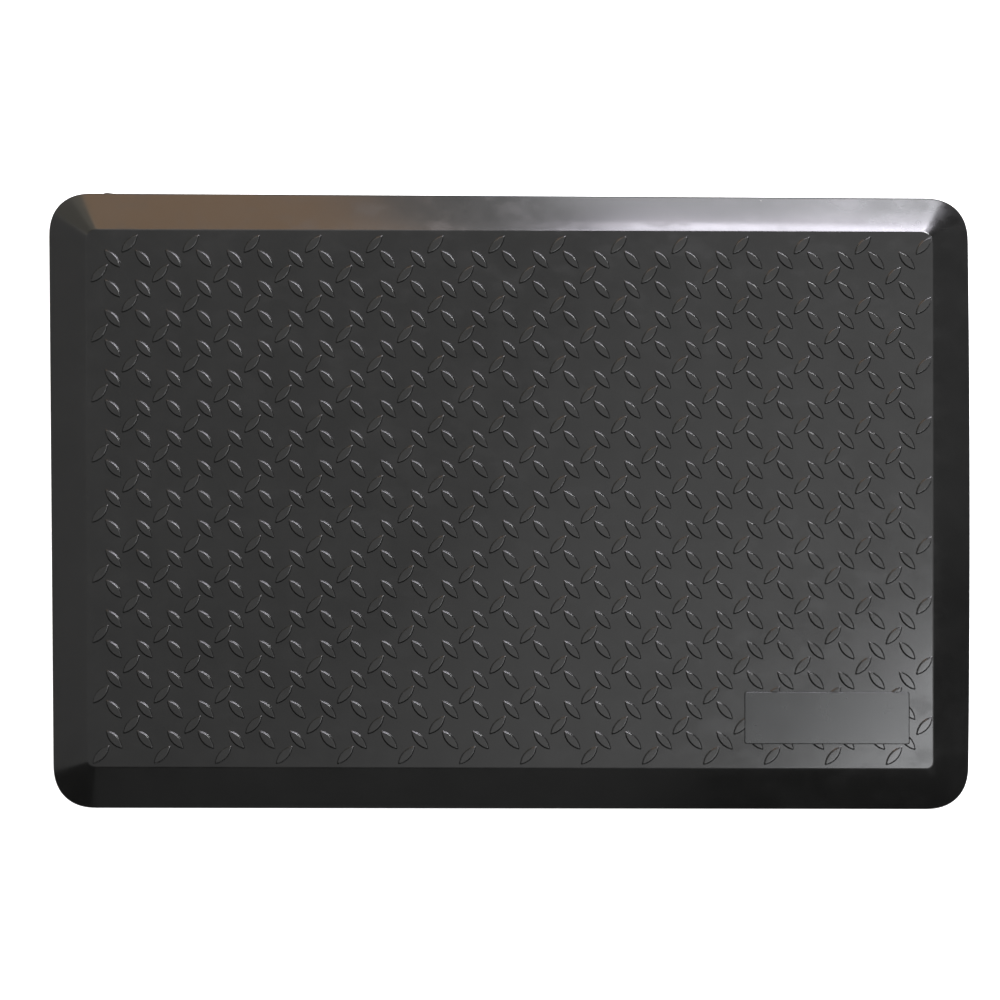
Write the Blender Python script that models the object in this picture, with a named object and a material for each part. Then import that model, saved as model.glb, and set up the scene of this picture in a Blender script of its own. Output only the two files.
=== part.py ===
"""Anti-fatigue floor mat with a diamond tread, as a Blender model.

Metres, +Z up. The origin is the centre of the underside, X runs along the mat's length and Y across it.
From the top down the mat is a name plate let into a moulded tread cover, a foam core inside the cover's
cavity, and a grip base that closes the cavity and lies flush with the cover's lip on the floor.
"""

import math

import bmesh
import bpy
from mathutils import Matrix

# Outside of the moulding.
MAT_LENGTH = 0.9144
MAT_WIDTH = 0.6096
LAND_HEIGHT = 0.019  # floor to the flat ground between the tread bars
LIP_HEIGHT = 0.003  # upright edge below the bevel
BEVEL_RUN = 0.039  # level distance from the outer edge to the crest of the bevel
OUTER_RADIUS = 0.038
CREST_RADIUS = 0.0065

# Layers.
SKIN = 0.0018  # wall of the cover over the foam
LIP_WALL = 0.007  # width of the solid lip that frames the base
BASE_THICKNESS = 0.002
FIT_GAP = 0.0003  # between pieces that touch

# Tread: lens-shaped bars on every other place of a grid, with a crossing bar in each space of the grid.
PITCH_X = 0.0302
PITCH_Y = 0.02973
CROSSING_SHIFT = (0.0, -0.0008)  # of the crossing bars from the middle of their space
GRID_SHIFT = (0.0019, -0.0009)  # of the grid's bars from their own places
BAR_LENGTH = 0.023
BAR_WIDTH = 0.0086
BAR_HEIGHT = 0.001
BAR_DRAFT = 0.0005  # how far a bar's side leans in by its top
BAR_ROOT = 0.0006  # how far a bar reaches down into the cover, to join it
BAR_ANGLE = math.radians(48)
BAR_SIDES = 4
CREST_MARGIN = 0.001  # least distance from a bar to the crest

# Name plate.
PLATE_LENGTH = 0.163
PLATE_WIDTH = 0.0515
PLATE_RADIUS = 0.002
PLATE_MARGIN_X = 0.0235  # from the plate to the crest at its end
PLATE_MARGIN_Y = 0.0239  # from the plate to the crest along its side
PLATE_PROUD = 0.0005
POCKET_DEPTH = 0.0008

CORNER_STEPS = 10  # straight pieces in a quarter round
CUT_OVERRUN = 0.005  # how far a cutter runs past what it cuts

BEVEL_SLOPE = math.atan2(LAND_HEIGHT - LIP_HEIGHT, BEVEL_RUN)
HALF_LENGTH = MAT_LENGTH / 2
HALF_WIDTH = MAT_WIDTH / 2
CREST_X = HALF_LENGTH - BEVEL_RUN
CREST_Y = HALF_WIDTH - BEVEL_RUN
CEILING = LAND_HEIGHT - SKIN  # top of the cavity inside the cover
PLATE_X = CREST_X - PLATE_MARGIN_X - PLATE_LENGTH / 2
PLATE_Y = -CREST_Y + PLATE_MARGIN_Y + PLATE_WIDTH / 2


def clear_scene():
    for obj in list(bpy.data.objects):
        bpy.data.objects.remove(obj, do_unlink=True)


def new_collection(name):
    collection = bpy.data.collections.new(name)
    bpy.context.scene.collection.children.link(collection)
    return collection


def new_material(name, colour, roughness):
    material = bpy.data.materials.new(name)
    material.use_nodes = True
    shader = material.node_tree.nodes["Principled BSDF"]
    shader.inputs["Base Color"].default_value = (*colour, 1)
    shader.inputs["Roughness"].default_value = roughness
    shader.inputs["Metallic"].default_value = 0
    return material


def add_object(name, bm, collection, material=None):
    bmesh.ops.recalc_face_normals(bm, faces=bm.faces)
    mesh = bpy.data.meshes.new(name)
    bm.to_mesh(mesh)
    bm.free()
    if material:
        mesh.materials.append(material)
    obj = bpy.data.objects.new(name, mesh)
    collection.objects.link(obj)
    return obj


def as_helper(obj):
    """A shape that cuts or joins another and isn't a piece of the mat."""
    obj.hide_render = True
    obj.display_type = "WIRE"
    return obj


def rounded_ring(bm, half_x, half_y, radius, height):
    """The vertices of a rectangle with round corners, anticlockwise from the +X side."""
    ring = []
    for quarter, (sign_x, sign_y) in enumerate([(1, 1), (-1, 1), (-1, -1), (1, -1)]):
        for step in range(CORNER_STEPS + 1):
            angle = math.radians(90) * (quarter + step / CORNER_STEPS)
            x = sign_x * (half_x - radius) + radius * math.cos(angle)
            y = sign_y * (half_y - radius) + radius * math.sin(angle)
            ring.append(bm.verts.new((x, y, height)))
    return ring


def lofted_solid(name, sections, collection, material=None):
    """A closed solid through round-cornered sections, each (inset, radius, height) from the outer edge."""
    bm = bmesh.new()
    rings = [
        rounded_ring(bm, HALF_LENGTH - inset, HALF_WIDTH - inset, radius, height)
        for inset, radius, height in sections
    ]
    for lower, upper in zip(rings, rings[1:]):
        for i in range(len(lower)):
            j = (i + 1) % len(lower)
            bm.faces.new((lower[i], lower[j], upper[j], upper[i]))
    bm.faces.new(reversed(rings[0]))
    bm.faces.new(rings[-1])
    return add_object(name, bm, collection, material)


def plate_solid(name, clearance, bottom, top, collection, material=None):
    """The name plate's outline, shrunk by clearance and extruded from bottom to top."""
    bm = bmesh.new()
    half_x = PLATE_LENGTH / 2 - clearance
    half_y = PLATE_WIDTH / 2 - clearance
    outline = rounded_ring(bm, half_x, half_y, PLATE_RADIUS - clearance, bottom)
    made = bmesh.ops.extrude_face_region(bm, geom=[bm.faces.new(outline)])
    raised = [item for item in made["geom"] if isinstance(item, bmesh.types.BMVert)]
    bmesh.ops.translate(bm, verts=raised, vec=(0, 0, top - bottom))
    bmesh.ops.translate(bm, verts=bm.verts, vec=(PLATE_X, PLATE_Y, 0))
    return add_object(name, bm, collection, material)


def inset_under_bevel(height, depth):
    """How far inside the outer edge a surface lies that runs parallel to the bevel, depth below it."""
    rise = height - LIP_HEIGHT + depth / math.cos(BEVEL_SLOPE)
    return rise / math.tan(BEVEL_SLOPE)


def height_under_bevel(inset, depth):
    """The height of that surface at a distance inside the outer edge."""
    return LIP_HEIGHT + inset * math.tan(BEVEL_SLOPE) - depth / math.cos(BEVEL_SLOPE)


def cavity_sections(clearance, bottom):
    """The cavity of the cover from bottom to its ceiling, shrunk by clearance on every side."""
    wall = LIP_WALL + clearance
    ceiling = CEILING - clearance
    top_inset = inset_under_bevel(ceiling, SKIN + clearance)
    return [
        (wall, OUTER_RADIUS - wall, bottom),
        (wall, OUTER_RADIUS - wall, height_under_bevel(wall, SKIN + clearance)),
        (top_inset, CREST_RADIUS, ceiling),
    ]


def bar_centres():
    """Where the tread bars stand, as (x, y, angle)."""
    span = BAR_LENGTH * math.cos(BAR_ANGLE) + 2 * CREST_MARGIN
    rise = BAR_LENGTH * math.sin(BAR_ANGLE) + 2 * CREST_MARGIN
    columns = int((2 * CREST_X - span) / PITCH_X) + 1
    rows = int((2 * CREST_Y - rise) / PITCH_Y) + 1
    for i in range(columns):
        for j in range(rows):
            x = (i - (columns - 1) / 2) * PITCH_X
            y = (j - (rows - 1) / 2) * PITCH_Y
            if (i + j) % 2 == 0:
                yield x + GRID_SHIFT[0], y + GRID_SHIFT[1], BAR_ANGLE
            if i < columns - 1 and j < rows - 1:
                shift_x, shift_y = CROSSING_SHIFT
                yield x + PITCH_X / 2 + shift_x, y + PITCH_Y / 2 + shift_y, -BAR_ANGLE


def tread_bars(collection):
    """Every tread bar as a tapered four-sided block, rooted in the cover."""
    bm = bmesh.new()
    depth = BAR_HEIGHT + BAR_ROOT
    taper = 1 - 2 * BAR_DRAFT / BAR_WIDTH
    stretch = Matrix.Diagonal((BAR_LENGTH / 2, BAR_WIDTH / 2, 1, 1))
    for x, y, angle in bar_centres():
        place = Matrix.Translation((x, y, LAND_HEIGHT - BAR_ROOT + depth / 2))
        bmesh.ops.create_cone(
            bm,
            cap_ends=True,
            segments=BAR_SIDES,
            radius1=1,
            radius2=taper,
            depth=depth,
            matrix=place @ Matrix.Rotation(angle, 4, "Z") @ stretch,
        )
    return as_helper(add_object("tread_bars", bm, collection))


def boolean(obj, operation, other):
    modifier = obj.modifiers.new(other.name, "BOOLEAN")
    modifier.operation = operation
    modifier.object = other
    modifier.solver = "EXACT"


def make_cover(mat, helpers, material):
    """The moulded cover: bevelled top with its tread, open below for the foam."""
    outside = [
        (0, OUTER_RADIUS, 0),
        (0, OUTER_RADIUS, LIP_HEIGHT),
        (BEVEL_RUN, CREST_RADIUS, LAND_HEIGHT),
    ]
    cover = lofted_solid("tread_cover", outside, mat, material)
    cavity = lofted_solid("cavity", cavity_sections(0, -CUT_OVERRUN), helpers)
    pocket = plate_solid(
        "plate_pocket", 0, LAND_HEIGHT - POCKET_DEPTH, LAND_HEIGHT + CUT_OVERRUN, helpers
    )
    boolean(cover, "DIFFERENCE", as_helper(cavity))
    boolean(cover, "UNION", tread_bars(helpers))
    boolean(cover, "DIFFERENCE", as_helper(pocket))


def make_core(mat, material):
    """The foam that fills the cover's cavity down to the base."""
    lofted_solid("foam_core", cavity_sections(FIT_GAP, BASE_THICKNESS + FIT_GAP), mat, material)


def make_base(mat, material):
    """The grip base: a flat sheet inside the cover's lip."""
    inset = LIP_WALL + FIT_GAP
    radius = OUTER_RADIUS - inset
    lofted_solid("grip_base", [(inset, radius, 0), (inset, radius, BASE_THICKNESS)], mat, material)


def make_plate(mat, material):
    """The blank name plate, standing a little proud of its pocket."""
    bottom = LAND_HEIGHT - POCKET_DEPTH + FIT_GAP
    plate_solid("name_plate", FIT_GAP, bottom, LAND_HEIGHT + PLATE_PROUD, mat, material)


def main():
    clear_scene()
    mat = new_collection("anti_fatigue_mat")
    helpers = new_collection("helpers")
    make_cover(mat, helpers, new_material("moulded_skin", (0.035, 0.035, 0.033), 0.45))
    make_core(mat, new_material("foam", (0.05, 0.05, 0.052), 0.9))
    make_base(mat, new_material("grip_rubber", (0.02, 0.02, 0.02), 0.75))
    make_plate(mat, new_material("plate_skin", (0.045, 0.046, 0.047), 0.5))


main()
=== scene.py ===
"""A cushioned standing mat with a diamond tread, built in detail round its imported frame, and its studio.

Metres, +Z up. The origin is the centre of the underside, X runs along the mat's length and Y across it.
"""

import math

import bmesh
import bpy
from bpy.props import FloatProperty, FloatVectorProperty, PointerProperty
from mathutils import Matrix, Vector, noise


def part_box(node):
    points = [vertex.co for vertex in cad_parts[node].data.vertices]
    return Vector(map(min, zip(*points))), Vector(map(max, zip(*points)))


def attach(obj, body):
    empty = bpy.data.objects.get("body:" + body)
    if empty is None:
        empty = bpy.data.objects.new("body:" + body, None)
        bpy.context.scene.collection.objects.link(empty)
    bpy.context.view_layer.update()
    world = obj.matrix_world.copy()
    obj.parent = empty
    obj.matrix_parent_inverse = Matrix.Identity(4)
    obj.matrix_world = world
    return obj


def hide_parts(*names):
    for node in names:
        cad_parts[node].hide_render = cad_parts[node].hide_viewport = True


bl_info = {
    "name": "Anti-Fatigue Mat",
    "version": (1, 0, 0),
    "blender": (4, 5, 0),
    "location": "3D View > Sidebar > Mat",
    "description": "Builds a cushioned standing mat with a diamond tread, and a studio to show it in",
    "category": "Add Mesh",
}

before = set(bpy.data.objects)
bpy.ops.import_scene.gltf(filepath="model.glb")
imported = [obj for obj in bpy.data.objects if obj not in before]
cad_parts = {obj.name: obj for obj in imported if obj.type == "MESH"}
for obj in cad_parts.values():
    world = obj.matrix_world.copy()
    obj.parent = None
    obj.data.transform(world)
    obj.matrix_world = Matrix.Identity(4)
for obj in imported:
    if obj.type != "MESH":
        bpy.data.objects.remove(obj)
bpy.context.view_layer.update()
COVER_LOW, COVER_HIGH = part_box("tread_cover")
CORE_LOW, CORE_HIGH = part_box("foam_core")
BASE_LOW, BASE_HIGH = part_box("grip_base")
PLATE_LOW, PLATE_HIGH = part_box("name_plate")
FIT_GAP = 0.0003


# ---------------------------------------------------------------- sizes and finishes a user would change


def length_property(name, description, default):
    return FloatProperty(
        name=name, description=description, default=default, min=0, precision=4, subtype="DISTANCE"
    )


def slope_property(name, description, default):
    return FloatProperty(name=name, description=description, default=default, precision=4)


def colour_property(name, description, default):
    return FloatVectorProperty(
        name=name, description=description, default=default, min=0, max=1, subtype="COLOR"
    )


def roughness_property(description, default):
    return FloatProperty(
        name="Roughness", description=description, default=default, min=0, max=1, subtype="FACTOR"
    )


class MatBody(bpy.types.PropertyGroup):
    length: length_property("Length", "Mat from end to end", COVER_HIGH.x - COVER_LOW.x)
    width: length_property("Width", "Mat from front to rear", COVER_HIGH.y - COVER_LOW.y)
    land: length_property("Land Height", "Floor to the flat ground between the tread bars", 0.019)
    lip: length_property("Lip Height", "Upright edge below the bevel", 0.003)
    bevel: length_property("Bevel Run", "Level distance from the outer edge to the crest", 0.039)
    corner: length_property("Corner Radius", "Radius of the outer corners", 0.038)
    crest_corner: length_property(
        "Crest Corner Radius", "Radius of the flat top's two front corners", 0.0065
    )
    crown: length_property("Bevel Crown", "How strongly the bevel eases off towards the crest", 0.0008)
    shoulder: length_property("Shoulder", "Height of the slight break in the bevel near the crest", 0.00012)
    rear_crest_corner: length_property(
        "Rear Crest Corner Radius", "Radius of the flat top's two rear corners", 0.011
    )
    crest_round: length_property("Crest Rounding", "Width of the soft edge on each side of the crest", 0.0011)
    lip_round: length_property("Lip Rounding", "Width of the soft edge at the top of the lip", 0.0014)
    shear: slope_property("Shear", "Sideways lean of the soft moulding across its width", 0.0047)
    fan: slope_property("Fan", "How much more the left end leans than the middle", 0.0057)
    front_bow: length_property("Front Bow", "How far the front edge lies outside its straight line", 0.0038)
    rear_skew: length_property("Rear Skew", "How far the rear edge runs inwards at its right end", 0.0028)
    left_skew: length_property("Left Skew", "How far the left edge's ends run out of line", 0.0011)
    right_bow: length_property("Right Bow", "How far the right edge bows out at its middle", 0.0022)
    ripple: length_property("Ripple", "Height of the moulding's gentle unevenness on the bevel", 0.00006)


class MatTread(bpy.types.PropertyGroup):
    pitch_x: length_property("Pitch Along", "Spacing of the bars along the mat", 0.0302)
    pitch_y: length_property("Pitch Across", "Spacing of the bars across the mat", 0.02973)
    grid_shift: FloatVectorProperty(
        name="Grid Shift",
        description="Shift of the grid's bars",
        default=(0.0019, -0.0009),
        size=2,
        precision=4,
        subtype="XYZ_LENGTH",
    )
    crossing_shift: FloatVectorProperty(
        name="Crossing Shift",
        description="Shift of the crossing bars from the middle of their space",
        default=(0.0, -0.0008),
        size=2,
        precision=4,
        subtype="XYZ_LENGTH",
    )
    length: length_property("Bar Length", "Bar from tip to tip", 0.0228)
    width: length_property("Bar Width", "Bar at its widest", 0.0086)
    height: length_property("Bar Height", "Top of a bar above the land", 0.001)
    tip: length_property("Tip Radius", "Radius of a bar's blunt tips", 0.0009)
    margin: length_property("Margin", "Least distance from a bar to the crest", 0.001)
    lean: FloatProperty(
        name="Lean",
        description="Angle of a bar to the mat's length",
        default=math.radians(48),
        subtype="ANGLE",
    )


class MatBase(bpy.types.PropertyGroup):
    rim: length_property("Rim", "Plain border round the grip pads", 0.008)
    pad: length_property("Pad", "Grip pad from flat to flat", 0.0125)
    groove: length_property("Groove", "Gap between neighbouring pads", 0.0022)
    depth: length_property("Groove Depth", "Depth of the grooves", 0.0007)


class MatFinish(bpy.types.PropertyGroup):
    skin: colour_property("Skin", "Moulded skin of the cover", (0.0075, 0.0077, 0.0073))
    skin_roughness: roughness_property("How satin the cover is", 0.17)
    plate: colour_property("Plate", "Blank name plate", (0.0105, 0.0114, 0.0113))
    plate_roughness: roughness_property("How satin the name plate is", 0.2)
    foam: colour_property("Foam", "Foam core", (0.045, 0.045, 0.048))
    foam_roughness: roughness_property("How dull the foam is", 0.92)
    grip: colour_property("Grip Rubber", "Grip base", (0.02, 0.02, 0.021))
    grip_roughness: roughness_property("How dull the grip base is", 0.72)
    dust: colour_property("Dust", "Dust and lint on the mat", (0.42, 0.41, 0.39))


class MatStudio(bpy.types.PropertyGroup):
    floor: colour_property("Floor", "Plain pale floor", (0.9, 0.9, 0.9))
    level: FloatProperty(name="Light Level", description="Scales every light", default=1.0, min=0)
    camera_place: FloatVectorProperty(
        name="Camera Place",
        description="Where the camera stands",
        default=(-0.018, -0.0323, 1.8961),
        subtype="XYZ_LENGTH",
    )
    camera_turn: FloatVectorProperty(
        name="Camera Turn",
        description="How the camera is turned",
        default=(0.0164, -0.0041, 0.0021),
        subtype="EULER",
    )
    camera_lens: FloatProperty(name="Lens", description="Focal length", default=68.31, unit="CAMERA")


class MatSettings(bpy.types.PropertyGroup):
    body: PointerProperty(type=MatBody)
    tread: PointerProperty(type=MatTread)
    base: PointerProperty(type=MatBase)
    finish: PointerProperty(type=MatFinish)
    studio: PointerProperty(type=MatStudio)


# ---------------------------------------------------------------- mesh helpers


def eased(value, ease):
    """A sine or cosine changed to run round a corner of that ease instead of a circle, whose ease is 2."""
    return math.copysign(abs(value) ** (2 / ease), value)


def rounded_rectangle(half_x, half_y, radius, corner_steps, side_steps=(1, 1), ease=2.0, rear_radius=None):
    """Points (x, y) round a rectangle with round corners, anticlockwise from the start of its first corner.

    With an ease above 2 the corners run into the sides gradually, and reach in as far as a circle's would.
    The two corners towards +Y can have a radius of their own.
    """
    reach = (1 - math.sqrt(0.5)) / (1 - 0.5 ** (1 / ease))
    rear_radius = radius if rear_radius is None else rear_radius
    radii = [rear_radius * reach, rear_radius * reach, radius * reach, radius * reach]
    points = []
    corners = [(1, 1), (-1, 1), (-1, -1), (1, -1)]
    for quarter, (sign_x, sign_y) in enumerate(corners):
        radius = radii[quarter]
        centre = Vector((sign_x * (half_x - radius), sign_y * (half_y - radius)))
        for step in range(corner_steps + 1):
            angle = math.pi / 2 * (quarter + step / corner_steps)
            arm = Vector((eased(math.cos(angle), ease), eased(math.sin(angle), ease)))
            points.append(centre + radius * arm)
        next_x, next_y = corners[(quarter + 1) % 4]
        angle = math.pi / 2 * (quarter + 1)
        start = points[-1]
        next_radius = radii[(quarter + 1) % 4]
        end = Vector((next_x * (half_x - next_radius), next_y * (half_y - next_radius)))
        end += next_radius * Vector((round(math.cos(angle)), round(math.sin(angle))))
        steps = side_steps[quarter % 2]
        points += [start.lerp(end, step / steps) for step in range(1, steps)]
    return points


def ring_of(bm, points, height, centre=(0, 0)):
    """A ring of vertices over those points. height is a number or a function of x and y."""
    ring = []
    for x, y in points:
        z = height(x, y) if callable(height) else height
        ring.append(bm.verts.new((centre[0] + x, centre[1] + y, z)))
    return ring


def skin_between(bm, rings):
    """Faces between each ring and the next one. The rings have the same number of vertices."""
    for lower, upper in zip(rings, rings[1:]):
        for i, corner in enumerate(lower):
            j = (i + 1) % len(lower)
            bm.faces.new((corner, lower[j], upper[j], upper[i]))


def ring_edges(bm, ring):
    return [bm.edges.get((a, b)) or bm.edges.new((a, b)) for a, b in zip(ring, ring[1:] + ring[:1])]


def arc_through(start, corner, end, steps):
    """Points of a smooth curve that rounds off corner between start and end, both of them left out."""
    points = []
    for step in range(1, steps):
        t = step / steps
        weights = ((1 - t) ** 2, 2 * t * (1 - t), t * t)
        points.append(tuple(sum(w * v for w, v in zip(weights, row)) for row in zip(start, corner, end)))
    return points


def finished_piece(name, bm, material, node, sharp=40):
    """The piece as a smooth-shaded object that rides on the mat and stands for its CAD node."""
    bmesh.ops.recalc_face_normals(bm, faces=bm.faces)
    mesh = bpy.data.meshes.new(name)
    bm.to_mesh(mesh)
    bm.free()
    mesh.shade_smooth()
    mesh.set_sharp_from_angle(angle=math.radians(sharp))
    mesh.materials.append(material)
    piece = bpy.data.objects.new(name, mesh)
    bpy.context.scene.collection.objects.link(piece)
    weighted = piece.modifiers.new("weighted_normals", "WEIGHTED_NORMAL")
    weighted.keep_sharp = True
    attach(piece, "root")
    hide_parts(node)
    return piece


# ---------------------------------------------------------------- material helpers


class Wire:
    """A node's output. Arithmetic on it adds Math nodes to its tree."""

    def __init__(self, nodes, output):
        self.nodes = nodes
        self.output = output

    def joined(self, operation, first, second):
        return self.nodes.add("ShaderNodeMath", {"operation": operation}, {0: first, 1: second})

    def __add__(self, other):
        return self.joined("ADD", self, other)

    def __radd__(self, other):
        return self.joined("ADD", other, self)

    def __sub__(self, other):
        return self.joined("SUBTRACT", self, other)

    def __rsub__(self, other):
        return self.joined("SUBTRACT", other, self)

    def __mul__(self, other):
        return self.joined("MULTIPLY", self, other)

    def __rmul__(self, other):
        return self.joined("MULTIPLY", other, self)


class Nodes:
    """The nodes of one material or world."""

    def __init__(self, owner):
        owner.use_nodes = True
        self.tree = owner.node_tree
        self.tree.nodes.clear()

    def add(self, kind, settings=None, sockets=None, output=0):
        """A new node. settings are its own, set first; sockets gives inputs by identifier or index."""
        node = self.tree.nodes.new(kind)
        for name, value in (settings or {}).items():
            setattr(node, name, value)
        inputs = {socket.identifier: socket for socket in node.inputs}
        for key, value in (sockets or {}).items():
            socket = node.inputs[key] if isinstance(key, int) else inputs[key]
            if isinstance(value, Wire):
                self.tree.links.new(value.output, socket)
            else:
                socket.default_value = value
        if not node.outputs:
            return None
        outputs = {socket.identifier: socket for socket in node.outputs}
        return Wire(self, node.outputs[output] if isinstance(output, int) else outputs[output])

    def place(self):
        """Position in the mat's own frame, in metres."""
        return self.add("ShaderNodeTexCoord", output="Object")

    def stretched(self, vector, scale):
        return self.add("ShaderNodeVectorMath", {"operation": "MULTIPLY"}, {0: vector, 1: scale})

    def clouds(self, vector, scale, detail=2.0, roughness=0.5):
        """Soft noise from 0 to 1, about 0.5. scale is in features per metre."""
        sockets = {"Vector": vector, "Scale": scale, "Detail": detail, "Roughness": roughness}
        return self.add("ShaderNodeTexNoise", {"noise_dimensions": "3D"}, sockets)

    def cells(self, vector, scale, feature="F1", output="Distance"):
        sockets = {"Vector": vector, "Scale": scale}
        return self.add("ShaderNodeTexVoronoi", {"feature": feature}, sockets, output)

    def band(self, value, low, high, to_low=0.0, to_high=1.0):
        """value from low to high, as a smooth step from to_low to to_high."""
        sockets = {"Value": value, 1: low, 2: high, 3: to_low, 4: to_high}
        return self.add("ShaderNodeMapRange", {"interpolation_type": "SMOOTHSTEP"}, sockets)

    def colour_mix(self, factor, first, second):
        sockets = {"Factor_Float": factor, "A_Color": first, "B_Color": second}
        return self.add("ShaderNodeMix", {"data_type": "RGBA"}, sockets, "Result_Color")

    def axis(self, vector, name):
        return self.add("ShaderNodeSeparateXYZ", None, {"Vector": vector}, name)

    def bump(self, height):
        """A normal from a height in metres."""
        return self.add("ShaderNodeBump", None, {"Strength": 1.0, "Distance": 1.0, "Height": height})

    def surface(self, shader, kind="ShaderNodeOutputMaterial"):
        self.add(kind, None, {"Surface": shader})


def opaque(colour, scale=1.0):
    return (*(min(1.0, channel * scale) for channel in colour), 1.0)


def dust_specks(nodes, place, scale, size, share):
    """A mask of tiny specks: one in a share of the cells, each of that size in metres."""
    distance = nodes.cells(place, scale)
    chance = nodes.cells(place, scale, output="Color")
    chosen = nodes.band(nodes.axis(chance, "X"), share, share * 0.6)
    return nodes.band(distance, size * scale, size * scale * 0.4) * chosen


def skin_material(finish, body, tread):
    """Satin moulded polyurethane: fine grain, hazy patches, rubbed bar tops, a little dust, and the smears of
    hands on the bevel near the rear right corner."""
    material = bpy.data.materials.new("satin_moulded_skin")
    nodes = Nodes(material)
    place = nodes.place()
    haze = nodes.clouds(place, 11.0, 4.0, 0.6)
    smudge = nodes.clouds(place, 30.0, 5.0, 0.62)
    grain = nodes.clouds(place, 900.0, 2.0, 0.6)
    pores = nodes.cells(place, 520.0)
    swell = nodes.clouds(place, 13.0, 1.0, 0.4)
    smear = nodes.clouds(nodes.stretched(place, (1.0, 1.6, 1.0)), 34.0, 3.0, 0.5)
    handled = nodes.band(nodes.axis(place, "X"), 0.26, 0.34)
    handled = handled * nodes.band(nodes.axis(place, "Y"), 0.262, 0.27)
    flow = nodes.clouds(nodes.stretched(place, (1.0, 0.12, 0.12)), 160.0, 3.0, 0.55)
    height = nodes.axis(place, "Z")
    rubbed = nodes.band(height, body.land + tread.height * 0.7, body.land + tread.height)
    rubbed = rubbed * nodes.band(smudge, 0.3, 0.62, 0.5, 1.0)
    dusty = nodes.band(haze * 0.6 + smudge * 0.4, 0.45, 0.75, 0.0, 0.004)
    specks = dust_specks(nodes, place, 48.0, 0.0005, 0.03)
    worn = nodes.colour_mix(rubbed, opaque(finish.skin), opaque(finish.skin, 2.1))
    mottled = nodes.colour_mix(nodes.band(smudge, 0.3, 0.7, 0.0, 0.4), worn, opaque(finish.skin, 1.5))
    powdered = nodes.colour_mix(dusty * nodes.band(grain, 0.35, 0.7), mottled, opaque(finish.dust))
    colour = nodes.colour_mix(specks * 0.8, powdered, opaque(finish.dust, 1.5))
    roughness = (
        finish.skin_roughness
        + (smudge - 0.5) * 0.12
        + (haze - 0.5) * 0.08
        + nodes.band(smear, 0.5, 0.68, 0.0, 0.06)
        + dusty * 1.0
        - rubbed * 0.03
        + specks * 0.4
    )
    relief = grain * 0.000003 + pores * 0.000002 + swell * 0.0001 + flow * 0.000006 + specks * 0.0001
    shader = nodes.add(
        "ShaderNodeBsdfPrincipled",
        None,
        {
            "Base Color": colour,
            "Roughness": roughness,
            "Coat Weight": handled * nodes.band(smear, 0.25, 0.8, 0.0, 0.3),
            "Coat Roughness": 0.3,
            "Normal": nodes.bump(relief),
            "IOR": 1.5,
        },
    )
    nodes.surface(shader)
    return material


def plate_material(finish):
    """The blank plate: smoother than the skin round it, with faint wiping marks along its length."""
    material = bpy.data.materials.new("satin_blank_plate")
    nodes = Nodes(material)
    place = nodes.place()
    haze = nodes.clouds(place, 40.0, 4.0, 0.6)
    wiped = nodes.clouds(nodes.stretched(place, (0.07, 1.0, 1.0)), 420.0, 3.0, 0.6)
    grain = nodes.clouds(place, 1100.0, 2.0, 0.6)
    specks = dust_specks(nodes, place, 90.0, 0.0003, 0.05)
    cloudy = nodes.band(haze, 0.3, 0.7, 0.0, 0.5)
    tinted = nodes.colour_mix(cloudy, opaque(finish.plate), opaque(finish.plate, 1.5))
    colour = nodes.colour_mix(specks * 0.6 + wiped * 0.002, tinted, opaque(finish.dust))
    roughness = finish.plate_roughness + (wiped - 0.5) * 0.03 + (haze - 0.5) * 0.12
    relief = grain * 0.000004 + wiped * 0.000002
    sockets = {"Base Color": colour, "Roughness": roughness, "Normal": nodes.bump(relief), "IOR": 1.5}
    nodes.surface(nodes.add("ShaderNodeBsdfPrincipled", None, sockets))
    return material


def foam_material(finish):
    """Cut-cell polyurethane foam: open cells of mixed sizes in a dull charcoal body, with painted shade
    darkening the hollow of each cell.
    """
    material = bpy.data.materials.new("charcoal_foam")
    nodes = Nodes(material)
    place = nodes.place()
    coarse = nodes.cells(place, 700.0, "SMOOTH_F1")
    fine = nodes.cells(place, 1600.0)
    haze = nodes.clouds(place, 25.0, 3.0, 0.6)
    # Mask that is 0 in each cell's hollow and 1 on its walls: the hollows get painted shade, and the walls
    # are a little less rough.
    pit_shade = nodes.band(coarse, 0.15, 0.55)
    colour = nodes.colour_mix(pit_shade, opaque(finish.foam, 0.45), opaque(finish.foam, 1.3))
    colour = nodes.colour_mix(nodes.band(haze, 0.35, 0.7, 0.0, 0.35), colour, opaque(finish.foam, 1.8))
    relief = coarse * 0.00025 + fine * 0.00008
    roughness = finish.foam_roughness - pit_shade * 0.12
    sockets = {"Base Color": colour, "Roughness": roughness, "Normal": nodes.bump(relief), "IOR": 1.45}
    nodes.surface(nodes.add("ShaderNodeBsdfPrincipled", None, sockets))
    return material


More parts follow.
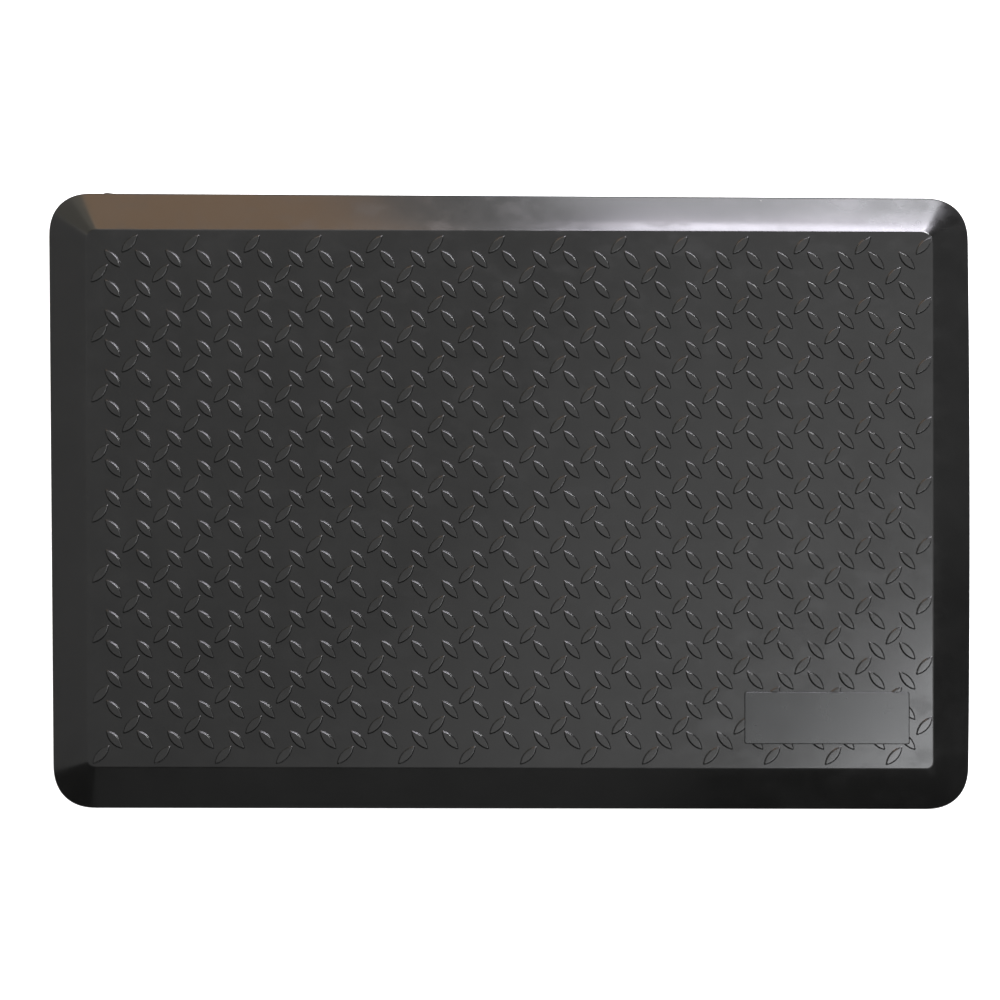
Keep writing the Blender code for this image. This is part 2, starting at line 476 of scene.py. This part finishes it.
def grip_material(finish, base):
    """Dull grip rubber: scuffed pad faces, and pale dust left in the grooves."""
    material = bpy.data.materials.new("grip_rubber")
    nodes = Nodes(material)
    place = nodes.place()
    haze = nodes.clouds(place, 18.0, 4.0, 0.6)
    scuff = nodes.clouds(nodes.stretched(place, (0.2, 1.0, 1.0)), 240.0, 3.0, 0.6)
    grain = nodes.clouds(place, 1000.0, 3.0, 0.65)
    groove = nodes.band(nodes.axis(place, "Z"), base.depth * 0.3, base.depth)
    dusty = groove * nodes.band(haze, 0.35, 0.65, 0.03, 0.14) + nodes.band(scuff, 0.55, 0.8, 0.0, 0.05)
    tinted = nodes.colour_mix(haze, opaque(finish.grip, 0.8), opaque(finish.grip, 1.5))
    colour = nodes.colour_mix(dusty, tinted, opaque(finish.dust))
    roughness = finish.grip_roughness + (scuff - 0.5) * 0.25 + groove * 0.12
    relief = grain * 0.00004 + scuff * 0.00002
    sockets = {"Base Color": colour, "Roughness": roughness, "Normal": nodes.bump(relief), "IOR": 1.48}
    nodes.surface(nodes.add("ShaderNodeBsdfPrincipled", None, sockets))
    return material


# ---------------------------------------------------------------- tread cover

CORNER_STEPS = 20  # straight pieces in a quarter round
SIDE_STEPS = (34, 22)  # along the rear and front edges, and along the left and right ones
CORNER_EASE = 2.35
BREAK = 0.76  # share of the bevel's run at which its slope changes a little
LEFT_EDGE_OUT = 0.0008  # how far the left edge lies outside its place
POCKET_CORNER = 0.002
PLATE_CORNER = 0.0019


def bevel_height(body, inset):
    """Height of the bevel's skin at a distance inside the outer edge."""
    share = inset / body.bevel
    shoulder = share / BREAK if share < BREAK else (1 - share) / (1 - BREAK)
    easing = body.crown * share * (1 - share**3) + body.shoulder * shoulder
    return body.lip + (body.land - body.lip) * share + easing


def outside_sections(body):
    """The cover's outside from the floor to the flat top, as (inset, height)."""
    foot = 0.0006
    a = body.lip_round
    t = body.crest_round
    sections = [(foot, 0.0)]
    sections += arc_through((foot, 0.0), (0.0, 0.0), (0.0, foot), 3)
    sections.append((0.0, foot))
    sections.append((0.0, body.lip - a))
    sections += arc_through((0.0, body.lip - a), (0.0, body.lip), (a, bevel_height(body, a)), 5)
    steps = 20
    for step in range(steps + 1):
        inset = a + (body.bevel - t - a) * step / steps
        sections.append((inset, bevel_height(body, inset)))
    start = (body.bevel - t, bevel_height(body, body.bevel - t))
    sections += arc_through(start, (body.bevel, body.land), (body.bevel + t, body.land), 5)
    sections.append((body.bevel + t, body.land))
    return sections


def ripple(body, inset):
    """The moulding's unevenness, as a function of x and y. It is strongest midway up the bevel."""
    share = min(1.0, max(0.0, inset / body.bevel))
    strength = body.ripple * 4 * share * (1 - share)

    def height(x, y):
        return strength * noise.noise(Vector((x * 11, y * 11, 0.5)))

    return height


def outline(body, inset, radius, rear_radius=None):
    """The mat's outline drawn in by inset, before it settles."""
    half_x, half_y = body.length / 2 - inset, body.width / 2 - inset
    return rounded_rectangle(half_x, half_y, radius, CORNER_STEPS, SIDE_STEPS, CORNER_EASE, rear_radius)


def leaned(body, x, y):
    """How far the soft moulding leans sideways at a place, as it doesn't lie quite square."""
    return -(body.shear - body.fan * x / (body.length / 2)) * y


def settled(body, point, inset):
    """A point of the outside as the soft mat lies: leaned a little, its outer edges not quite straight."""
    u = point.x / (body.length / 2)
    v = point.y / (body.width / 2)
    left = -LEFT_EDGE_OUT - body.left_skew * v
    right = body.right_bow * (1 - v * v)
    rear = -body.rear_skew * (1 + u) / 2
    moved_x = (left * (1 - u) + right * (1 + u)) / 2
    moved_y = (rear * (1 + v) - body.front_bow * (1 - v)) / 2
    edge = Vector((moved_x, moved_y)) * max(0.0, 1 - inset / body.bevel)
    return point + edge + Vector((leaned(body, point.x, point.y), 0))


def cavity_sections(body, clearance):
    """The hollow under the cover from mouth to ceiling, as (inset, radius, height), drawn in by clearance."""
    slope = math.atan2(body.land - body.lip, body.bevel)
    wall = BASE_LOW.x - COVER_LOW.x - FIT_GAP + clearance
    ceiling = CORE_HIGH.z + FIT_GAP - clearance
    depth = (body.land - ceiling) / math.cos(slope)
    shoulder = body.lip + wall * math.tan(slope) - depth
    top_inset = (ceiling - body.lip + depth) / math.tan(slope)
    return [
        (wall, body.corner - wall, 0.0),
        (wall, body.corner - wall, shoulder),
        (top_inset, body.crest_corner, ceiling),
    ]


def pocket_half_sizes():
    size = (PLATE_HIGH - PLATE_LOW) / 2
    return size.x + FIT_GAP, size.y + FIT_GAP


def add_body(bm, body):
    """The shell of the cover: cavity, lip, bevel and land, with the pocket for the name plate sunk in it."""
    rings = []
    for inset, radius, height in reversed(cavity_sections(body, 0.0)):
        rings.append(ring_of(bm, outline(body, inset, radius), height))
    ceiling = rings[0]
    taper = (body.corner - body.crest_corner) / body.bevel
    rear_taper = (body.corner - body.rear_crest_corner) / body.bevel
    for inset, height in outside_sections(body):
        wavy = ripple(body, inset)
        ring = outline(body, inset, body.corner - taper * inset, body.corner - rear_taper * inset)
        points = [settled(body, point, inset) for point in ring]
        rings.append(ring_of(bm, points, lambda x, y, h=height, w=wavy: h + w(x, y)))
    skin_between(bm, rings)
    bm.faces.new(ceiling)

    centre = ((PLATE_LOW + PLATE_HIGH) / 2).xy
    half_x, half_y = pocket_half_sizes()
    floor = PLATE_LOW.z - FIT_GAP
    pocket = []
    for grow, height in [(0.0001, body.land), (0.00002, body.land - 0.00008), (0.0, floor)]:
        points = rounded_rectangle(half_x + grow, half_y + grow, POCKET_CORNER + grow, 5)
        pocket.append(ring_of(bm, points, height, centre))
    skin_between(bm, pocket)
    bm.faces.new(pocket[-1])
    land_edges = ring_edges(bm, rings[-1]) + ring_edges(bm, pocket[0])
    bmesh.ops.triangle_fill(bm, use_beauty=True, edges=land_edges)


def bar_outline(tread, offset, side_steps=5, tip_steps=2):
    """Points round a lens-shaped bar with blunt tips, drawn in by offset, and a little more at its tips."""
    half_width = tread.width / 2 - offset
    tip = tread.tip * half_width / (tread.width / 2)
    reach = tread.length / 2 - offset * 1.3 - tip
    radius = (reach**2 / (half_width - tip) + tip + half_width) / 2
    drop = radius - half_width
    start = math.asin(drop / (radius - tip))
    points = []
    for side in (0, 1):
        turn = math.pi * side
        for step in range(tip_steps):
            angle = turn - start + 2 * start * step / tip_steps
            tip_centre = reach * Vector((math.cos(turn), math.sin(turn)))
            points.append(tip_centre + tip * Vector((math.cos(angle), math.sin(angle))))
        for step in range(side_steps):
            angle = turn + start + (math.pi - 2 * start) * step / side_steps
            arc_centre = drop * Vector((math.sin(turn), -math.cos(turn)))
            points.append(arc_centre + radius * Vector((math.cos(angle), math.sin(angle))))
    return points


def bar_mesh(tread, land):
    """One bar: a softly filleted foot sunk in the land, a round rim and a flat top."""
    steepest = math.radians(44)
    rim = 0.0017  # radius of the rim
    foot = 0.0002  # inset at which the rim begins
    rim_steps = 4
    profile = [(-0.0006, -0.0001), (-0.0003, 0.00003), (-0.00005, tread.height * 0.18)]
    for step in range(rim_steps + 1):
        angle = steepest * (1 - step / rim_steps)
        offset = foot + rim * (math.sin(steepest) - math.sin(angle))
        profile.append((offset, tread.height - rim * (1 - math.cos(angle))))
    bm = bmesh.new()
    rings = [ring_of(bm, bar_outline(tread, offset), land + rise) for offset, rise in profile]
    skin_between(bm, rings)
    bm.faces.new(rings[-1])
    bm.faces.new(reversed(rings[0]))
    mesh = bpy.data.meshes.new("bar")
    bm.to_mesh(mesh)
    bm.free()
    return mesh


def bar_places(body, tread):
    """Each bar as (x, y, angle): every other place of a grid, with a crossing bar in each space."""
    span_x = body.length - 2 * body.bevel - tread.length * math.cos(tread.lean) - 2 * tread.margin
    span_y = body.width - 2 * body.bevel - tread.length * math.sin(tread.lean) - 2 * tread.margin
    columns = int(span_x / tread.pitch_x) + 1
    rows = int(span_y / tread.pitch_y) + 1
    shift_x, shift_y = tread.crossing_shift
    places = []
    for i in range(columns):
        for j in range(rows):
            x = (i - (columns - 1) / 2) * tread.pitch_x
            y = (j - (rows - 1) / 2) * tread.pitch_y
            if (i + j) % 2 == 0:
                places.append((x + tread.grid_shift[0], y + tread.grid_shift[1], tread.lean))
            if i < columns - 1 and j < rows - 1:
                middle_x, middle_y = x + tread.pitch_x / 2, y + tread.pitch_y / 2
                places.append((middle_x + shift_x, middle_y + shift_y, -tread.lean))
    return places


def add_bars(bm, body, tread):
    """Every bar of the tread. Those that meet the name plate's pocket are cut off at its wall."""
    mesh = bar_mesh(tread, body.land)
    centre = ((PLATE_LOW + PLATE_HIGH) / 2).xy
    half_x, half_y = pocket_half_sizes()
    reach = tread.length * math.cos(tread.lean) / 2 + 0.001
    cut = bmesh.new()
    for x, y, angle in bar_places(body, tread):
        x += leaned(body, x, y)
        place = Matrix.Translation((x, y, 0)) @ Matrix.Rotation(angle, 4, "Z")
        clear_x = abs(x - centre.x) - half_x
        clear_y = abs(y - centre.y) - half_y
        if clear_x < -reach and clear_y < -reach:
            continue
        mesh.transform(place)
        (cut if clear_x < reach and clear_y < reach else bm).from_mesh(mesh)
        mesh.transform(place.inverted())

    block = bmesh.new()
    clear = 0.00008
    points = rounded_rectangle(half_x + clear, half_y + clear, POCKET_CORNER, 5)
    block_rings = [ring_of(block, points, height, centre) for height in (0.01, 0.03)]
    skin_between(block, block_rings)
    block.faces.new(block_rings[0])
    block.faces.new(block_rings[1])
    bm.from_mesh(cut_mesh(cut, block))


def cut_mesh(solid, cutter):
    """The first mesh with the second one cut from it."""
    objects = []
    for name, bm in (("solid", solid), ("cutter", cutter)):
        bmesh.ops.recalc_face_normals(bm, faces=bm.faces)
        mesh = bpy.data.meshes.new(name)
        bm.to_mesh(mesh)
        bm.free()
        helper = bpy.data.objects.new(name, mesh)
        bpy.context.scene.collection.objects.link(helper)
        objects.append(helper)
    difference = objects[0].modifiers.new("difference", "BOOLEAN")
    difference.operation = "DIFFERENCE"
    difference.solver = "EXACT"
    difference.object = objects[1]
    graph = bpy.context.evaluated_depsgraph_get()
    result = bpy.data.meshes.new_from_object(objects[0].evaluated_get(graph), depsgraph=graph)
    for helper in objects:
        bpy.data.objects.remove(helper)
    return result


def add_flash(bm, body):
    """A sliver of moulding flash left on the rear edge near the left corner."""
    start, end, peak = -0.4085, -0.3935, -0.4055
    rings = []
    steps = 9
    for step in range(steps + 1):
        x = start + (end - start) * step / steps
        y = settled(body, Vector((x, body.width / 2)), 0).y
        share = (x - start) / (peak - start) if x < peak else (end - x) / (end - peak)
        out = 0.0013 * max(0.0, share) ** 1.4
        thick = 0.00012 + 0.00025 * share
        points = [(y - 0.0006, 0.0004), (y + out, 0.0005), (y + out, 0.0005 + thick), (y - 0.0006, 0.0014)]
        rings.append([bm.verts.new((x, *point)) for point in points])
    skin_between(bm, rings)
    bm.faces.new(rings[0])
    bm.faces.new(rings[-1])


class MAT_OT_tread_cover(bpy.types.Operator):
    """Mould the cover: bevelled shell, lens-shaped tread bars and the pocket for the name plate"""

    bl_idname = "standing_mat.tread_cover"
    bl_label = "Tread Cover"

    def execute(self, context):
        settings = context.scene.standing_mat
        bm = bmesh.new()
        add_body(bm, settings.body)
        add_bars(bm, settings.body, settings.tread)
        add_flash(bm, settings.body)
        material = skin_material(settings.finish, settings.body, settings.tread)
        cover = finished_piece("moulded_tread_cover", bm, material, "tread_cover")
        return {"FINISHED"}


# ---------------------------------------------------------------- foam core, grip base and name plate


class MAT_OT_foam_core(bpy.types.Operator):
    """Fill the cover with its foam core"""

    bl_idname = "standing_mat.foam_core"
    bl_label = "Foam Core"

    def execute(self, context):
        settings = context.scene.standing_mat
        body = settings.body
        mouth, shoulder, ceiling = cavity_sections(body, FIT_GAP)
        soft = 0.0008
        wall, radius, _ = mouth
        sections = [(wall + soft, radius - soft, CORE_LOW.z), (wall, radius, CORE_LOW.z + soft), shoulder]
        share = 0.96
        sections.append(tuple(a + (b - a) * share for a, b in zip(shoulder, ceiling)))
        sections.append((ceiling[0] + soft, ceiling[1] - soft, ceiling[2]))
        bm = bmesh.new()
        rings = [ring_of(bm, outline(body, inset, radius), height) for inset, radius, height in sections]
        skin_between(bm, rings)
        bm.faces.new(rings[0])
        bm.faces.new(rings[-1])
        core = finished_piece("cushion_foam_core", bm, foam_material(settings.finish), "foam_core")
        return {"FINISHED"}


class MAT_OT_grip_base(bpy.types.Operator):
    """Lay the grip base: a sheet with a plain rim and a field of six-sided grip pads"""

    bl_idname = "standing_mat.grip_base"
    bl_label = "Grip Base"

    def execute(self, context):
        settings = context.scene.standing_mat
        base = settings.base
        half_x = (BASE_HIGH.x - BASE_LOW.x) / 2
        half_y = (BASE_HIGH.y - BASE_LOW.y) / 2
        radius = settings.body.corner - (BASE_LOW.x - COVER_LOW.x)
        bm = bmesh.new()
        soft = 0.0003
        sections = [
            (soft, BASE_HIGH.z),
            (0.0, BASE_HIGH.z - soft),
            (0.0, soft),
            (soft, 0.0),
            (base.rim - soft, 0.0),
            (base.rim, soft),
            (base.rim + 0.0004, base.depth),
        ]
        rings = []
        for inset, height in sections:
            points = rounded_rectangle(half_x - inset, half_y - inset, radius - inset, CORNER_STEPS)
            rings.append(ring_of(bm, points, height))
        skin_between(bm, rings)
        bm.faces.new(rings[0])
        bm.faces.new(rings[-1])
        self.add_pads(bm, base, half_x - base.rim, half_y - base.rim, radius - base.rim)
        material = grip_material(settings.finish, base)
        finished_piece("hex_grip_base", bm, material, "grip_base")
        return {"FINISHED"}

    def add_pads(self, bm, base, half_x, half_y, radius):
        """Staggered rows of pads, as far as the rim and its round corners allow."""
        turns = [math.radians(30 + 60 * corner) for corner in range(6)]
        arms = [Vector((math.cos(turn), math.sin(turn))) for turn in turns]
        pitch = base.pad + base.groove
        row = pitch * math.sqrt(3) / 2
        across = base.pad / math.sqrt(3)
        edge = across + base.groove
        for j in range(-int(half_y / row), int(half_y / row) + 1):
            for i in range(-int(half_x / pitch) - 1, int(half_x / pitch) + 2):
                x = (i + (j % 2) / 2) * pitch
                y = j * row
                past_x = max(0.0, abs(x) + edge - (half_x - radius))
                past_y = max(0.0, abs(y) + edge - (half_y - radius))
                if math.hypot(past_x, past_y) > radius:
                    continue
                rings = []
                for grow, height in [(0.0003, base.depth + 0.0002), (0.0001, 0.00025), (-0.0003, 0.0)]:
                    corners = [(across + grow) * arm for arm in arms]
                    rings.append(ring_of(bm, corners, height, (x, y)))
                skin_between(bm, rings)
                bm.faces.new(rings[0])
                bm.faces.new(rings[-1])


class MAT_OT_name_plate(bpy.types.Operator):
    """Let the blank name plate into its pocket"""

    bl_idname = "standing_mat.name_plate"
    bl_label = "Name Plate"

    def execute(self, context):
        settings = context.scene.standing_mat
        size = (PLATE_HIGH - PLATE_LOW) / 2
        centre = ((PLATE_LOW + PLATE_HIGH) / 2).xy
        top = PLATE_HIGH.z
        sections = [
            (0.0, PLATE_LOW.z),
            (-0.00015, PLATE_LOW.z + 0.00015),
            (-0.00015, top - 0.0005),
            (-0.00008, top - 0.0003),
            (0.00008, top - 0.00012),
            (0.0003, top - 0.00003),
            (0.0006, top),
        ]
        bm = bmesh.new()
        rings = []
        for inset, height in sections:
            points = rounded_rectangle(size.x - inset, size.y - inset, PLATE_CORNER - inset, 6, (24, 8))
            rings.append(ring_of(bm, points, height, centre))
        skin_between(bm, rings)
        bm.faces.new(rings[0])
        bm.faces.new(rings[-1])
        finished_piece("blank_name_plate", bm, plate_material(settings.finish), "name_plate")
        return {"FINISHED"}


# ---------------------------------------------------------------- studio


def add_softbox(name, brightness, colour, size, place, target, spread):
    """A rectangular light at place that faces target and isn't seen by the camera."""
    light = bpy.data.lights.new(name, "AREA")
    light.shape = "RECTANGLE"
    light.size, light.size_y = size
    light.energy = brightness * math.pi * size[0] * size[1]
    light.color = colour
    light.spread = math.radians(spread)
    softbox = bpy.data.objects.new(name, light)
    softbox.location = place
    softbox.rotation_euler = (Vector(target) - Vector(place)).to_track_quat("-Z", "Y").to_euler()
    softbox.visible_camera = False
    bpy.context.scene.collection.objects.link(softbox)


WHITE = (1.0, 1.0, 1.0)
LILAC = (0.93, 0.9, 1.0)
COOL = (0.95, 0.97, 1.0)
CREAM = (1.0, 0.95, 0.8)
WARM = (1.0, 0.65, 0.4)

# Name, brightness of the panel's face, colour, size, place and spread in degrees. A wall of panels stands
# behind the mat's rear edge, white on the right and warm on the left, with a ceiling above it and dim
# panels on the other sides.
SOFTBOXES = [
    ("window", 21, LILAC, (0.88, 1.1), (0.65, 2.3, 2.25), 180),
    ("window_bright", 28, LILAC, (0.36, 1.1), (1.27, 2.3, 2.25), 180),
    ("window_end", 7.5, LILAC, (0.5, 1.1), (1.75, 2.25, 2.25), 180),
    ("skylight", 44, WHITE, (0.55, 0.55), (1.6, 1.85, 2.65), 180),
    ("upper_left", 1.3, WHITE, (1.6, 1.5), (-0.7, 2.3, 3.6), 180),
    ("sill_left", 8, LILAC, (0.42, 0.4), (0.42, 2.3, 1.5), 180),
    ("sill_middle", 11, LILAC, (0.45, 0.4), (0.86, 2.3, 1.5), 180),
    ("sill_right", 8, LILAC, (0.4, 0.4), (1.27, 2.3, 1.5), 180),
    ("pale_wall", 7, COOL, (1.35, 0.5), (0.78, 2.3, 1.05), 180),
    ("pale_centre", 1.8, WHITE, (0.24, 1.4), (0.07, 2.3, 1.5), 180),
    ("pale_left", 1.3, WHITE, (0.26, 1.4), (-0.18, 2.3, 1.5), 180),
    ("warm_wall", 3, WARM, (0.9, 1.6), (-0.72, 2.3, 1.5), 180),
    ("dim_wall", 1.2, CREAM, (0.6, 1.5), (-1.46, 2.28, 1.5), 180),
    ("rear_left", 0.75, CREAM, (1.0, 1.5), (-2.08, 1.75, 1.5), 180),
    ("ceiling_soft", 0.12, WHITE, (4, 3), (1.2, -0.6, 3.0), 60),
    ("ceiling_wide", 0.27, WHITE, (3.0, 4.8), (0.5, 0.1, 3.0), 120),
    ("panel_right", 5.8, COOL, (1.0, 0.8), (1.25, -0.8, 3.0), 180),
    ("left_upper", 0.45, WHITE, (3.0, 1.3), (-2.1, 0.1, 2.8), 180),
    ("left_side", 0.5, WHITE, (2.2, 1.4), (-2.4, 0.3, 1.6), 180),
    ("right_side", 0.2, WHITE, (1.4, 1.2), (2.4, 0.6, 1.5), 180),
    ("front_side", 0.2, WHITE, (1.4, 1.0), (-0.3, -2.3, 1.8), 180),
]

AIM = (0.0, 0.1, 0.0)  # where every softbox points


class MAT_OT_studio(bpy.types.Operator):
    """Set up the pale floor, the soft lights and the camera"""

    bl_idname = "standing_mat.studio"
    bl_label = "Studio"

    def execute(self, context):
        studio = context.scene.standing_mat.studio
        self.add_floor(studio)
        self.add_lights(studio)
        self.add_world(context)
        self.add_camera(context, studio)
        return {"FINISHED"}

    def add_floor(self, studio):
        bm = bmesh.new()
        bmesh.ops.create_grid(bm, x_segments=4, y_segments=4, size=7)
        mesh = bpy.data.meshes.new("pale_floor")
        bm.to_mesh(mesh)
        bm.free()
        floor = bpy.data.objects.new("pale_floor", mesh)
        floor.location.z = -0.0002
        bpy.context.scene.collection.objects.link(floor)
        material = bpy.data.materials.new("pale_floor_paint")
        nodes = Nodes(material)
        cloud = nodes.clouds(nodes.place(), 2.0, 3.0, 0.5)
        paint = nodes.colour_mix(cloud * 0.3, opaque(studio.floor), opaque(studio.floor, 0.97))
        sockets = {
            "Base Color": paint,
            "Roughness": 0.85,
            "Emission Color": (1.0, 1.0, 1.0, 1.0),
            "Emission Strength": 1.0,
        }
        nodes.surface(nodes.add("ShaderNodeBsdfPrincipled", None, sockets))
        mesh.materials.append(material)

    def add_lights(self, studio):
        for name, brightness, colour, size, place, spread in SOFTBOXES:
            add_softbox(name, brightness * studio.level, colour, size, place, AIM, spread)

    def add_world(self, context):
        """A dim room for the mat to reflect, with a plain white wall behind it."""
        world = bpy.data.worlds.new("studio_room")
        context.scene.world = world
        nodes = Nodes(world)
        seen = nodes.add("ShaderNodeLightPath", output="Is Camera Ray")
        room = nodes.add("ShaderNodeBackground", None, {"Color": (1.0, 1.0, 1.0, 1.0), "Strength": 0.0})
        wall = nodes.add("ShaderNodeBackground", None, {"Color": (1.0, 1.0, 1.0, 1.0), "Strength": 1.0})
        mixed = nodes.add("ShaderNodeMixShader", None, {0: seen, 1: room, 2: wall})
        nodes.surface(mixed, "ShaderNodeOutputWorld")

    def add_camera(self, context, studio):
        camera = bpy.data.objects.new("camera", bpy.data.cameras.new("camera"))
        camera.data.lens = studio.camera_lens
        camera.location = studio.camera_place
        camera.rotation_euler = studio.camera_turn
        context.scene.collection.objects.link(camera)
        context.scene.camera = camera
        context.scene.view_settings.view_transform = "Standard"


# ---------------------------------------------------------------- add-on


class MAT_PT_sidebar(bpy.types.Panel):
    """Lists the mat's pieces and their settings"""

    bl_idname = "MAT_PT_sidebar"
    bl_label = "Standing Mat"
    bl_space_type = "VIEW_3D"
    bl_region_type = "UI"
    bl_category = "Mat"

    def draw(self, context):
        settings = context.scene.standing_mat
        for operator in OPERATORS:
            self.layout.operator(operator.bl_idname)
        for group in (settings.body, settings.tread, settings.base, settings.finish, settings.studio):
            box = self.layout.box()
            for name in group.__annotations__:
                box.prop(group, name)


OPERATORS = (
    MAT_OT_tread_cover,
    MAT_OT_foam_core,
    MAT_OT_grip_base,
    MAT_OT_name_plate,
    MAT_OT_studio,
)
CLASSES = (MatBody, MatTread, MatBase, MatFinish, MatStudio, MatSettings, *OPERATORS, MAT_PT_sidebar)


def register():
    for cls in CLASSES:
        bpy.utils.register_class(cls)
    bpy.types.Scene.standing_mat = PointerProperty(type=MatSettings)


def unregister():
    del bpy.types.Scene.standing_mat
    for cls in reversed(CLASSES):
        bpy.utils.unregister_class(cls)


def main():
    register()
    bpy.ops.standing_mat.tread_cover()
    bpy.ops.standing_mat.foam_core()
    bpy.ops.standing_mat.grip_base()
    bpy.ops.standing_mat.name_plate()
    bpy.ops.standing_mat.studio()


if __name__ == "__main__":
    main()
